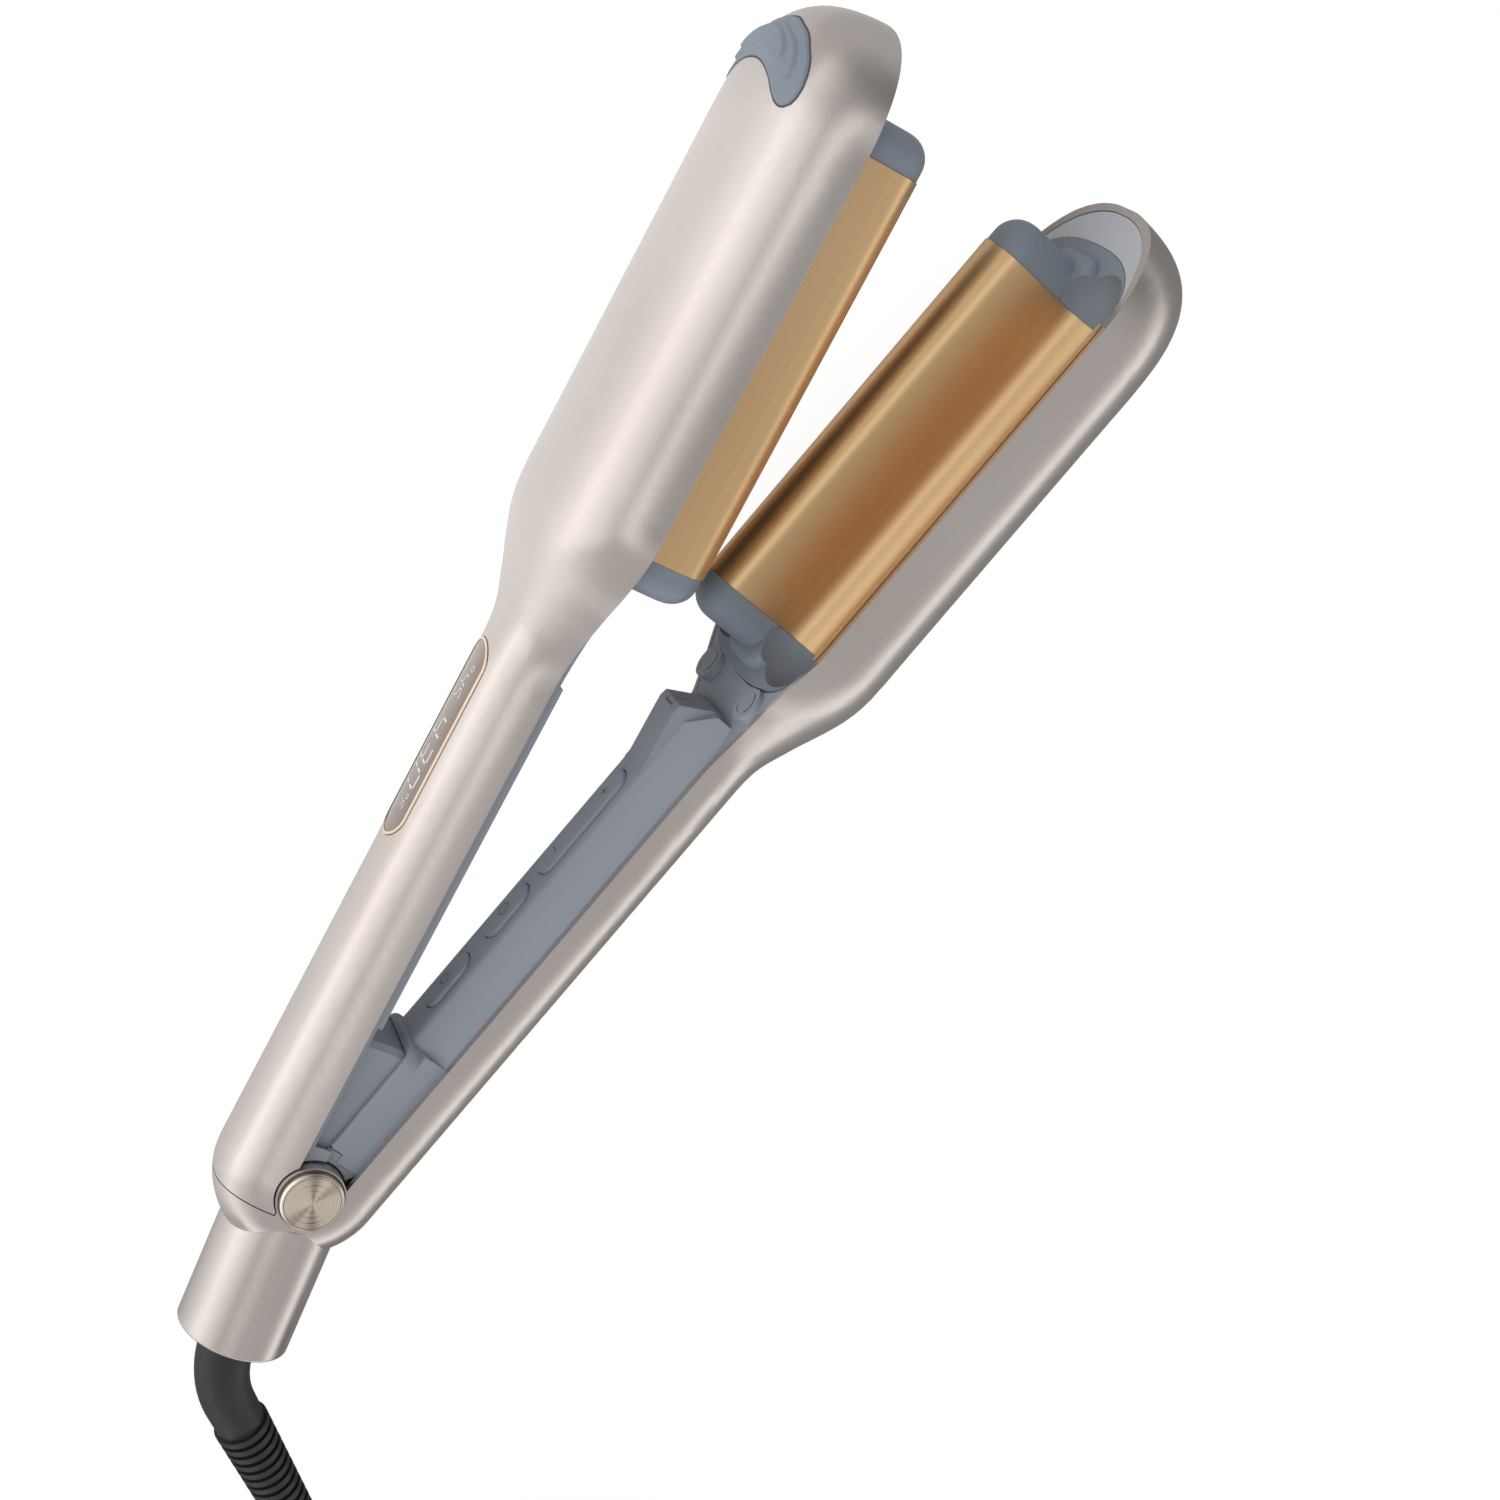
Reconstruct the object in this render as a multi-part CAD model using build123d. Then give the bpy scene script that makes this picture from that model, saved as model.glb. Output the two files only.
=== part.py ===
from build123d import *
import math
import os

os.makedirs("parts", exist_ok=True)

# ---------------------------------------------------------------- placement
# Arm frame: hinge axis = Z through the origin, X runs to the tips,
# +Y of the lower arm looks at the upper arm. Everything is shifted by HINGE at the end.
HINGE = (-123.47, -31.19, 30.2)    # hinge centre in the stored frame
OPEN_ANGLE = 13.0               # arms apart at rest

# ---------------------------------------------------------------- driving sizes
FORM_N = 2.5                    # roundness of the casing sections
WALL = 1.8                      # casing wall
SEAT = 0.15                     # clearance of an inlaid piece
RUN = 0.3                       # clearance between pieces that pass each other

HEAD_HALF = 30.5                # half width of the head
REST_HALF = 30.2                # flat strips on both sides of the heads, to lie on
HEAD_START = 176.0              # where the head is full width
TIP_X = 294.4                   # end of the arms
TIP_RUN = 32.5                  # length of the rounded tip in plan
HANDLE_HALF = 14.8              # half width of the handle
NECK_START = 134.0              # where the handle begins to widen
LOWER_HEAD_DEEP = 28.0          # back of the lower head below the hinge plane
UPPER_HEAD_DEEP = 28.2          # back of the upper head above the hinge plane
HANDLE_DEEP = 20.6              # back of both handles from the hinge plane

BOSS_R = 8.3                    # flat bosses that carry the pin
BOSS_TOP = 15.4
BOSS_IN = 9.7
SEAM_X = -7.0                   # back end of the upper casing
PIN_R = 2.5
PIN_RUN = 0.05                  # running clearance of the pin
CAP_R = 7.5                     # turned caps over the pin
CAP_THICK = 1.7

LOWER_RIM = -6.0                # rim of the lower casing along the handle
LOWER_FACE = -2.0               # rim of the lower casing around the head
UPPER_RIM = 6.0                 # rim of the upper casing
SPINE_TOP = 2.5                 # raised spine that carries the keys
SPINE_HALF = 6.2
SPINE_FOOT = 11.6
SPINE_END = 146.0

BARREL_X0 = 171.2               # heated length
BARREL_X1 = 267.9
SHEET = 0.8                     # thickness of the heated plates
RIDGE_HALF = 7.4                # centre ridge
RIDGE_TOP = 19.5
GUTTER_Z = 17.6                 # centre of a gutter and of an upper ridge
GUTTER_Y = -1.2
GUTTER_R = 10.2
UP_RIDGE_R = 9.4                # upper ridges
UP_RIDGE_BOTTOM = -11.0
UP_RIDGE_ROOT = 8.2             # where the upper plates end inside the casing
CAP_STEP = 0.3                  # end caps are this much smaller than the plates
VALLEY_HALF = 8.2               # clear half width between the upper ridges
VALLEY_FLOOR = 21.6
FRONT_CAP_LEN = 16.0            # foot of the lower caps beyond the heated length
REAR_CAP_LEN = 15.0
FOOT_HALF = 27.6                # half width of the caps' foot
NOSE_LEN = 9.2                  # ridge part of the lower caps
UP_CAP_LEN = 8.4

POWER_X = 57.4                  # middle of each key
TIMER_X = 79.0
ROCKER_X = 106.4
KEY_LEN = 15.6
ROCKER_LEN = 31.0
KEY_HALF = 3.9
KEY_PROUD = 0.9
KEY_RUN = 0.25                  # clearance around a key
KEY_TRAVEL = 0.6
ROCKER_TILT = 2.2

POCKET_R = 39.6                 # outer radius of the hinge boot
POCKET_HALF = 10.0

PLUG_X = 153.2                  # screw plugs behind the heated part
PLUG_Z = 14.6
PLUG_R = 2.9

WINDOW_X0 = 85.0                # display window on the back of the upper handle
WINDOW_X1 = 134.5
WINDOW_HALF = 5.7
BEZEL = 0.7

COLLAR_ANGLE = 17.9             # collar against the line of the lower arm
COLLAR_R = 13.9
COLLAR_END = 45.6
COLLAR_WALL = 2.0
STEM_R = 7.0
STEM_END = 46.5
RELIEF_R0 = 7.0
RELIEF_R1 = 4.8
RIBS = 14
CORD_R = 3.4                    # 1.8 m of round lead in all
COIL_COLUMNS = 4
COIL_LAYERS = 2
COIL_MID_R = 36.0               # middle of the turns
COIL_CENTRE = (-97.3, -167.8)
TAIL_ANGLE = 255.0              # where the lead leaves the coil for the plug that lies on it
TAIL_SIDE = 36.0                # the plug's line from the coil's centre
PLUG_LENGTH = 36.0
PLUG_WIDE = 24.0
PLUG_THICK = 17.0
FLOOR = -HINGE[2]


# ---------------------------------------------------------------- helpers
def smooth(x, x0, x1):
    t = min(1.0, max(0.0, (x - x0) / (x1 - x0)))
    return t * t * (3 - 2 * t)


def tip_shrink(x, run, n):
    u = max(0.0, (x - (TIP_X + 0.1 - run)) / run)
    return (1 - min(u, 0.9995) ** n) ** (1 / n)


def half_width(x):
    w = HANDLE_HALF + (HEAD_HALF - HANDLE_HALF) * smooth(x, NECK_START, HEAD_START)
    return w * tip_shrink(x, TIP_RUN, FORM_N)


def depth(x, head_deep):
    d = HANDLE_DEEP + (head_deep - HANDLE_DEEP) * smooth(x, NECK_START + 3, HEAD_START - 6)
    return d * tip_shrink(x, TIP_RUN + 4, 3.2)


def d_face(x, a, d, side):
    """Half superellipse standing on the hinge plane, at one place along the arm."""
    pts = []
    count = 12
    for i in range(count + 1):
        t = math.pi * i / count
        c = math.cos(t)
        z = a * math.copysign(abs(c) ** (2 / FORM_N), c)
        y = d * max(math.sin(t), 0.0) ** (2 / FORM_N)
        pts.append((x, side * y, z))
    curve = Spline(*pts, tangents=[(0, side, 0), (0, -side, 0)])
    return make_face([curve, Line(pts[-1], pts[0])])


NECK_RUN = [120, 121.5, 124, 128, 133, 139, 146, 152, 159, 165, 170, 174.5, 178, 180.5, 182]
TIP_RUN_X = [254, 255.5, 258.5, 263, 268.5, 274, 279.5, 284, 287.5, 290.2, 292.2, 293.5, TIP_X]


def arm_form(head_deep, side, inset=0.0, raise_back=0.0):
    """Solid outer form of an arm, or the hollow inside it when inset is the wall."""
    def section(s):
        x = s * (TIP_X - inset) / TIP_X
        a = max(half_width(s) - inset, 3)
        return x, d_face(x, a, depth(s, head_deep) - inset + raise_back, side)

    solids = []
    x_neck, face = section(NECK_RUN[0])
    solids.append(extrude(section(0)[1], amount=x_neck, dir=(1, 0, 0)))
    solids.append(loft([section(s)[1] for s in NECK_RUN]))
    x_head, face = section(NECK_RUN[-1])
    x_tip = section(TIP_RUN_X[0])[0]
    solids.append(extrude(face, amount=x_tip - x_head, dir=(1, 0, 0)))
    solids.append(loft([section(s)[1] for s in TIP_RUN_X]))
    return solids[0] + solids[1] + solids[2] + solids[3]


def hub_form(inset=0.0):
    """Drum around the hinge axis, half of it: the arms continue it."""
    face = d_face(0, HANDLE_HALF - inset, HANDLE_DEEP - inset, 1)
    return revolve(face, axis=Axis.Z, revolution_arc=180)


def block(x0, x1, y0, y1, z0, z1):
    return Pos((x0 + x1) / 2, (y0 + y1) / 2, (z0 + z1) / 2) * Box(x1 - x0, y1 - y0, z1 - z0)


def prism_z(pts, half):
    """Outline in the XY plane, extruded to both sides of the arm's middle."""
    return extrude(make_face(Polyline(*[(p[0], p[1], -half) for p in pts], close=True)),
                   amount=2 * half, dir=(0, 0, 1))


def disc_z(r, z0, z1, x=0.0, y=0.0):
    return Pos(x, y, (z0 + z1) / 2) * Cylinder(r, z1 - z0)


def post_y(r, y0, y1, x, z):
    return Pos(x, (y0 + y1) / 2, z) * Rot(90, 0, 0) * Cylinder(r, y1 - y0)


def along_x(sketch, x0, x1):
    """Section drawn in (z, y), extruded along the arm."""
    plane = Plane(origin=(x0, 0, 0), x_dir=(0, 0, 1), z_dir=(-1, 0, 0))
    return extrude(plane * sketch, amount=-(x1 - x0))


def plan(sketch, y0, y1):
    """Outline drawn in (x, z), extruded across the arm."""
    plane = Plane(origin=(0, y0, 0), x_dir=(1, 0, 0), z_dir=(0, -1, 0))
    return extrude(plane * mirror(sketch, Plane.XZ), amount=-(y1 - y0))


def pill(x0, x1, half):
    return Pos((x0 + x1) / 2, 0) * SlotOverall(x1 - x0, 2 * half)


def opened(shape):
    """Turn a piece of the upper arm to its rest angle."""
    return Rot(0, 0, OPEN_ANGLE) * shape


def save(shape, node):
    placed = Pos(*HINGE) * shape
    placed.label = node
    export_step(placed, "parts/" + node + ".step")
    box = placed.bounding_box()
    PLACED[node] = box
    print("%-24s %8.2f cm3  z %.2f..%.2f" % (node, placed.volume / 1000, box.min.Z, box.max.Z))


PLACED = {}


def rim_curve(level_handle, level_head, drop=0.0):
    """Side outline of a rim, from the hinge to past the tip."""
    pts = [(0.0, level_handle - drop)]
    for k in range(9):
        x = NECK_START + 5 + k * 3.5
        pts.append((x, level_handle + (level_head - level_handle) * smooth(x, NECK_START + 5,
                                                                           NECK_START + 33) - drop))
    pts.append((TIP_X + 8, level_head - drop))
    return pts


def d_outline(length, half, n=FORM_N, count=20):
    """Rounded foot in plan: x from 0 to length, z to both sides."""
    pts = []
    for i in range(count + 1):
        t = math.pi * i / count - math.pi / 2
        c = max(math.cos(t), 0.0)
        s = math.sin(t)
        pts.append((length * c ** (2 / n), half * math.copysign(abs(s) ** (2 / n), s)))
    return pts


# ---------------------------------------------------------------- shared forms
LOWER_OUT = arm_form(LOWER_HEAD_DEEP, -1)
LOWER_IN = arm_form(LOWER_HEAD_DEEP, -1, WALL)
UPPER_OUT = arm_form(UPPER_HEAD_DEEP, 1)
UPPER_IN = arm_form(UPPER_HEAD_DEEP, 1, WALL)
HUB_OUT = hub_form()
HUB_IN = hub_form(WALL)


def lower_fill():
    """What may lie inside the lower casing, with the seat clearance."""
    return arm_form(LOWER_HEAD_DEEP, -1, WALL + SEAT)


def upper_fill():
    return arm_form(UPPER_HEAD_DEEP, 1, WALL + SEAT)


LOWER_FILL = lower_fill()
LOWER_FILL_UP = LOWER_FILL + block(150, 290, 0, 40, -20, 20)
UPPER_FILL = upper_fill()


# ---------------------------------------------------------------- lower arm
def swept_by_upper(gap):
    """Room that the upper casing takes around the hinge."""
    box = block(SEAM_X - gap, 90, UPPER_RIM - gap, 60, -40, 40)
    return opened(box)


def above_rim(curve):
    pts = [(0.0, curve[0][1])] + curve[1:] + [(TIP_X + 8, 90.0), (0.0, 90.0)]
    return prism_z(pts, 60)


def collar_place(shape):
    """Pieces of the collar are drawn along +Z and laid along the collar's line."""
    return Rot(0, 0, COLLAR_ANGLE) * Rot(0, -90, 0) * shape


def make_lower_casing():
    shell = (LOWER_OUT + HUB_OUT) - (LOWER_IN + HUB_IN)
    shell = shell - above_rim(rim_curve(LOWER_RIM, LOWER_FACE))
    shell = shell - block(9.3, POCKET_R + 3, LOWER_RIM - 2.5, 0, -POCKET_HALF - 2.1, POCKET_HALF + 2.1)
    shell = shell - (swept_by_upper(RUN) - disc_z(BOSS_R, -40, 40))
    for side in (1, -1):
        lo, hi = sorted((side * BOSS_IN, side * BOSS_TOP))
        shell = shell + disc_z(BOSS_R, lo, hi)
    posts = Part()
    for side in (1, -1):
        posts = posts + post_y(3.6, -40, -7.2, PLUG_X, side * PLUG_Z)
    shell = shell + (posts & LOWER_OUT)
    for side in (1, -1):
        shell = shell - post_y(1.45, -17, -6, PLUG_X, side * PLUG_Z)
    shell = shell - disc_z(PIN_R, -40, 40)
    shell = shell - collar_place(disc_z(4.5, 0, 30))
    return shell


def spine_section(shrink):
    top = SPINE_TOP - shrink
    pts = [(-SPINE_FOOT + shrink, LOWER_RIM - 2.4), (-SPINE_FOOT + shrink, LOWER_RIM - 0.3),
           (-SPINE_HALF + shrink * 0.7, top), (SPINE_HALF - shrink * 0.7, top),
           (SPINE_FOOT - shrink, LOWER_RIM - 0.3), (SPINE_FOOT - shrink, LOWER_RIM - 2.4)]
    face = make_face(Polyline(*pts, close=True))
    if shrink == 0:
        face = fillet(face.vertices().sort_by(Axis.Y)[-2:], 2.2)
    return face


def key_hole(x, length):
    return plan(pill(x - length / 2 - KEY_RUN, x + length / 2 + KEY_RUN, KEY_HALF + KEY_RUN), -2, 10)


def make_lower_liner():
    rim = rim_curve(LOWER_RIM, LOWER_FACE, 0.25)
    slab_pts = [(9.5, rim[0][1])] + rim[1:] + [(TIP_X + 8, rim[-1][1] - 2.0)]
    slab_pts = slab_pts + [(p[0], p[1] - 2.0) for p in reversed(rim[1:-1])] + [(9.5, rim[0][1] - 2.0)]
    slab = prism_z(slab_pts, 60) & LOWER_FILL & block(9.5, BARREL_X0 - 6, -30, 30, -60, 60)
    foot = rear_foot(RUN)
    slab = slab - foot
    spine = along_x(spine_section(0), 10.5, SPINE_END)
    wedge_pts = [(124.0, SPINE_TOP - 3), (124.0, SPINE_TOP), (126.0, SPINE_TOP), (140.5, SPINE_TOP + 3.2),
                 (142.5, SPINE_TOP + 3.0), (SPINE_END + 0.4, LOWER_FACE - 0.5), (SPINE_END + 0.4, -6.0),
                 (124.0, -6.0)]
    wedge = prism_z(wedge_pts, SPINE_HALF - 0.4)
    nose = prism_z([(130.0, 12.0), (139.5, 12.0), (139.5, SPINE_TOP + 0.2), (SPINE_END, LOWER_FACE - 0.3),
                    (160.0, LOWER_FACE - 0.3), (160.0, 12.0)], 40)
    spine = spine - nose + wedge
    hollow = along_x(spine_section(2.0), 43.0, SPINE_END - 8)
    body = slab + spine - hollow
    rim_rise = along_x(Pos(0, SPINE_TOP - 2) * Rectangle(2 * POCKET_HALF + 3.6, 5.4), 12.0, POCKET_R + 2.6)
    rim_rise = fillet(rim_rise.edges().filter_by(Axis.Y).sort_by(Axis.X)[-2:], 5.0)
    rim_rise = fillet(rim_rise.faces().sort_by(Axis.Y)[-1].edges(), 0.7)
    legs = block(9.5, POCKET_R + 2.6, LOWER_RIM - 2.2, SPINE_TOP - 3, -POCKET_HALF - 1.8, POCKET_HALF + 1.8)
    body = body + rim_rise + (legs & (LOWER_FILL + block(0, 60, -3, 20, -13.2, 13.2)))
    body = body - along_x(Rectangle(2 * POCKET_HALF + 2 * RUN, 60), 5.0, POCKET_R + RUN)
    body = body & (LOWER_FILL + block(9.5, 170, -6.1, 30, -12.9, 12.9) + block(9.5, 48, -10, 30, -11.9, 11.9))
    for side in (1, -1):
        body = body + (post_y(4.4, -7.1, LOWER_FACE - 0.35, PLUG_X, side * PLUG_Z) & LOWER_FILL)
        body = body - post_y(PLUG_R + 0.08, -5.6, 5, PLUG_X, side * PLUG_Z)
        body = body - post_y(1.6, -12, 5, PLUG_X, side * PLUG_Z)
    for x, length in ((POWER_X, KEY_LEN), (TIMER_X, KEY_LEN), (ROCKER_X, ROCKER_LEN)):
        body = body - key_hole(x, length)
    return body - rear_foot(RUN)


def rear_foot(gap):
    pts = [(BARREL_X0 - p[0], p[1]) for p in d_outline(REAR_CAP_LEN + gap, FOOT_HALF + gap)]
    return plan(make_face(Polyline(*[(p[0], p[1]) for p in pts], close=True)), -30, 30)


def front_foot(gap):
    pts = [(BARREL_X1 + p[0], p[1]) for p in d_outline(FRONT_CAP_LEN + gap, FOOT_HALF + gap)]
    return plan(make_face(Polyline(*[(p[0], p[1]) for p in pts], close=True)), -30, 30)


def make_face_plate():
    slab = block(BARREL_X1 + 0.2, TIP_X, LOWER_FACE - 2.2, LOWER_FACE - 0.2, -40, 40) & LOWER_FILL
    return slab - front_foot(SEAT)


def gutter_end():
    """Hollow of both gutters where they run out in the caps."""
    profile = make_face([Line((-6, 0), (-6, GUTTER_R)), Line((-6, GUTTER_R), (1.2, GUTTER_R)),
                         RadiusArc((1.2, GUTTER_R), (1.2 + GUTTER_R, 0), GUTTER_R),
                         Line((1.2 + GUTTER_R, 0), (-6, 0))])
    tube = revolve(profile, axis=Axis.X, revolution_arc=360)
    return (Pos(0, GUTTER_Y, GUTTER_Z) * tube) + (Pos(0, GUTTER_Y, -GUTTER_Z) * tube)


def make_lower_cap(length):
    """End cap of the lower jaw, drawn at the front and mirrored for the rear."""
    base = plan(make_face(Polyline(*d_outline(length, FOOT_HALF), close=True)), -14.2, LOWER_FACE - 0.1)
    keep = block(0.1, 30, -40, 40, -40, 40)
    return (base & keep) + (jaw_skirt() & keep) - gutter_end() + (jaw_nose() & keep)


def jaw_nose():
    """Rounded end of the centre ridge."""
    r = RIDGE_HALF - CAP_STEP
    top = RIDGE_TOP - CAP_STEP
    shape = along_x(Pos(0, (top - r - 12) / 2) * Rectangle(2 * r, top - r + 12), 0, NOSE_LEN)
    shape = shape + along_x(Pos(0, top - r) * Circle(r), 0, NOSE_LEN)
    end = shape.faces().sort_by(Axis.X)[-1]
    edges = [e for e in end.edges() if e.center().Y > -10]
    return fillet(edges, NOSE_LEN * 0.7)


def jaw_skirt():
    """Foot of the nose, flaring on to the face of the head."""
    r = RIDGE_HALF + 3.4
    body = along_x(Pos(0, -5) * Rectangle(2 * r, 12), 0, NOSE_LEN + 3.2)
    end = body.faces().sort_by(Axis.X)[-1]
    body = fillet(end.edges().filter_by(Axis.Y), 6.0)
    top = body.faces().sort_by(Axis.Y)[-1]
    return fillet(top.edges(), 2.6)


def make_front_cap():
    return (Pos(BARREL_X1, 0, 0) * make_lower_cap(FRONT_CAP_LEN)) & LOWER_FILL_UP


def make_rear_cap():
    return (Pos(BARREL_X0, 0, 0) * mirror(make_lower_cap(REAR_CAP_LEN), Plane.YZ)) & LOWER_FILL_UP


def make_lower_plate():
    sheet = Sketch()
    ring = Circle(GUTTER_R + SHEET) - Circle(GUTTER_R)
    low = Pos(0, -20) * Rectangle(60, 40)
    for side in (1, -1):
        arc = ring & low
        out_cut = Pos(side * 20, GUTTER_Y) * Rectangle(40, 2 * (GUTTER_Y - LOWER_FACE))
        arc = arc - out_cut
        sheet = sheet + Pos(side * GUTTER_Z, GUTTER_Y) * arc
        wall_h = RIDGE_TOP - RIDGE_HALF - GUTTER_Y
        sheet = sheet + Pos(side * (RIDGE_HALF - SHEET / 2), GUTTER_Y + wall_h / 2) * \
            Rectangle(SHEET, wall_h)
        lip0 = GUTTER_Z + math.sqrt(GUTTER_R ** 2 - (GUTTER_Y - LOWER_FACE) ** 2)
        lip1 = HEAD_HALF - WALL - 0.6
        sheet = sheet + Pos(side * (lip0 + lip1) / 2, LOWER_FACE - SHEET / 2) * \
            Rectangle(lip1 - lip0, SHEET)
    crown = (Circle(RIDGE_HALF) - Circle(RIDGE_HALF - SHEET)) & (Pos(0, 20) * Rectangle(60, 40))
    sheet = sheet + Pos(0, RIDGE_TOP - RIDGE_HALF) * crown
    sheet = sheet & Rectangle(2 * (HEAD_HALF - WALL - 0.6), 80)
    return along_x(sheet, BARREL_X0, BARREL_X1)


def make_lower_heater():
    top = RIDGE_TOP - RIDGE_HALF
    core = along_x(Pos(0, top - 5) * Rectangle(2 * (RIDGE_HALF - SHEET - SEAT), 10), BARREL_X0 + 5,
                   BARREL_X1 - 5)
    return core


def make_lower_heater_bracket():
    top = RIDGE_TOP - RIDGE_HALF - 10 - SEAT
    post = along_x(Pos(0, (top - 9) / 2) * Rectangle(8, top + 9), BARREL_X0 + 8, BARREL_X1 - 8)
    foot = along_x(Pos(0, -11.5) * Rectangle(11, 5), BARREL_X0 + 4, BARREL_X1 - 4)
    rib = Part()
    for x in (BARREL_X0 + 14, (BARREL_X0 + BARREL_X1) / 2, BARREL_X1 - 14):
        rib = rib + (block(x - 1.2, x + 1.2, -40, -13.6, -14, 14) & LOWER_FILL)
    return post + foot + rib


def make_key(x, length, flange_reach=0.9, flange_drop=0.15):
    top = SPINE_TOP + KEY_PROUD
    under = SPINE_TOP - 2.0
    stem = plan(pill(x - length / 2, x + length / 2, KEY_HALF), under - 1.6, top)
    stem = fillet(stem.faces().sort_by(Axis.Y)[-1].edges(), 0.7)
    reach = length / 2 + flange_reach
    flange = plan(pill(x - reach, x + reach, KEY_HALF + 0.75), under - 1.6, under - flange_drop)
    return stem + flange


def make_control_board():
    y1 = LOWER_RIM - 0.4
    half = SPINE_FOOT - 2.0 - SEAT
    board = block(44.0, 128.0, y1 - 1.6, y1, -half, half)
    for x in (POWER_X, TIMER_X, ROCKER_X - 11, ROCKER_X + 11):
        board = board + block(x - 1.8, x + 1.8, y1 - 0.1, SPINE_TOP - 2.0 - 1.6 - KEY_TRAVEL - 0.35, -1.8, 1.8)
    board = board + block(48, 54, y1 - 6, y1 - 1.5, -5, 5) + block(112, 126, y1 - 5, y1 - 1.5, -6, 4)
    return board


def make_lower_screws():
    screws = Part()
    for side in (1, -1):
        head = post_y(2.6, -5.55, -4.4, PLUG_X, side * PLUG_Z)
        head = head - post_y(0.9, -4.9, -4, PLUG_X, side * PLUG_Z)
        screws = screws + head + post_y(1.4, -15.5, -5.5, PLUG_X, side * PLUG_Z)
    return screws


def make_screw_plugs():
    plugs = Part()
    for side in (1, -1):
        plug = post_y(PLUG_R, -4.3, LOWER_FACE - 0.3, PLUG_X, side * PLUG_Z)
        plugs = plugs + plug
    return plugs


def crescent(narrow):
    outer = [(266.5, 21.5), (272.5, 22.6), (281.0, 17.5), (286.5, 9.0), (288.2, 0.0),
             (286.5, -9.0), (281.0, -17.5), (272.5, -22.6), (266.5, -21.5)]
    inner = [(266.5, -21.5), (270.8, -17.0), (274.6, -8.5), (275.6, 0.0), (274.6, 8.5),
             (270.8, 17.0), (266.5, 21.5)]
    return make_spline_outline([(x, z * narrow) for x, z in outer], [(x, z * narrow) for x, z in inner])


def make_spline_outline(first, second):
    return make_face([Spline(*first), Spline(*second)])


def make_thumb_rest(out_form, head_deep, side, narrow=1.0):
    y0, y1 = (10, 40) if side > 0 else (-40, -10)
    base = plan(crescent(narrow), y0, y1) & arm_form(head_deep, side, 0.0, 1.4 * narrow)
    step = plan(scale_plan(crescent(narrow), 0.74), y0, y1) & arm_form(head_deep, side, 0.0, 2.6 * narrow)
    return (base + step) - out_form


def scale_plan(face, k):
    mid = (278.0, 0.0)
    return Pos(mid[0] * (1 - k), 0, 0) * scale(face, k)


# ---------------------------------------------------------------- hinge
def make_hinge_pin():
    pin = disc_z(PIN_R, -BOSS_TOP, BOSS_TOP)
    return pin


def make_hinge_cap(side):
    lo, hi = sorted((side * BOSS_TOP, side * (BOSS_TOP + CAP_THICK)))
    cap = disc_z(CAP_R, lo, hi)
    face = cap.faces().sort_by(Axis.Z)[-1 if side > 0 else 0]
    cap = chamfer(face.edges(), 0.45)
    for r in (2.2, 3.6, 5.0):
        ring = disc_z(r + 0.22, side * (BOSS_TOP + CAP_THICK) - 0.12, side * (BOSS_TOP + CAP_THICK) + 0.12)
        ring = ring - disc_z(r - 0.22, -40, 40)
        cap = cap - ring
    return cap


def make_torsion_spring():
    wire = 0.55
    r = PIN_R + 1.9
    turns = 5
    pitch = 1.35
    helix = Helix(pitch=pitch, height=pitch * turns, radius=r)
    start = Plane(origin=helix @ 0, z_dir=helix % 0)
    coil = sweep(start * Circle(wire), path=Wire(helix.edges()))
    coil = Pos(0, 0, -pitch * turns / 2) * coil
    return coil


def make_upper_bracket():
    eye = Part()
    for side in (1, -1):
        lo, hi = sorted((side * 4.6, side * (BOSS_IN - 0.4)))
        knuckle = disc_z(6.6, lo, hi)
        knuckle = knuckle + block(-1.0, 9.0, 3.0, 10.6, lo, hi) - disc_z(PIN_R + PIN_RUN, -40, 40)
        eye = eye + knuckle
    tongue = block(-1.0, 40.0, 8.6, 10.6, -8.6, 8.6)
    return eye + tongue


# ---------------------------------------------------------------- upper arm
def make_upper_casing():
    keep = block(SEAM_X, TIP_X + 8, UPPER_RIM, 60, -60, 60)
    shell = ((UPPER_OUT + HUB_OUT) - (UPPER_IN + HUB_IN)) & keep
    shell = shell - disc_z(BOSS_R + RUN, -40, 40)
    ring = plan(pill(WINDOW_X0 - BEZEL - SEAT, WINDOW_X1 + BEZEL + SEAT, WINDOW_HALF + BEZEL + SEAT), 14, 40)
    shell = shell - ring
    return shell


def make_upper_liner():
    low_handle = UPPER_RIM - 1.6
    low_head = UPPER_RIM + 0.2
    pts = []
    for k in range(9):
        x = NECK_START + 2 + k * 3.0
        pts.append((x, low_handle + (low_head - low_handle) * smooth(x, NECK_START + 2, NECK_START + 26)))
    line = [(9.6, low_handle)] + pts + [(TIP_X + 8, low_head)]
    top = [(p[0], p[1] + 2.3) for p in reversed(line)]
    slab = prism_z(line + top, 60) & UPPER_FILL
    for side in (1, -1):
        lo, hi = sorted((side * 9.6, side * 12.4))
        rail = block(44, NECK_START, UPPER_RIM - 2.8, UPPER_RIM, lo, hi)
        slab = slab + (rail & UPPER_FILL)
    slab = slab & block(0, BARREL_X0 - UP_CAP_LEN - 0.1 - SEAT, -20, 40, -60, 60)
    slab = slab - block(VALLEY_X0 - 1.4, VALLEY_X1 + 1.4, 0, 20, -VALLEY_HALF - 1.4, VALLEY_HALF + 1.4)
    slab = slab - block(121.0, 149.0, 0, 20, -SPINE_HALF - 1.2, SPINE_HALF + 1.2)
    tray = block(119.8, 150.2, low_handle + 0.6, 9.6, -SPINE_HALF - 2.4, SPINE_HALF + 2.4)
    tray = tray - block(121.0, 149.0, 0, 8.4, -SPINE_HALF - 1.2, SPINE_HALF + 1.2)
    slab = slab + tray
    return slab + make_boot()


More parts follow.
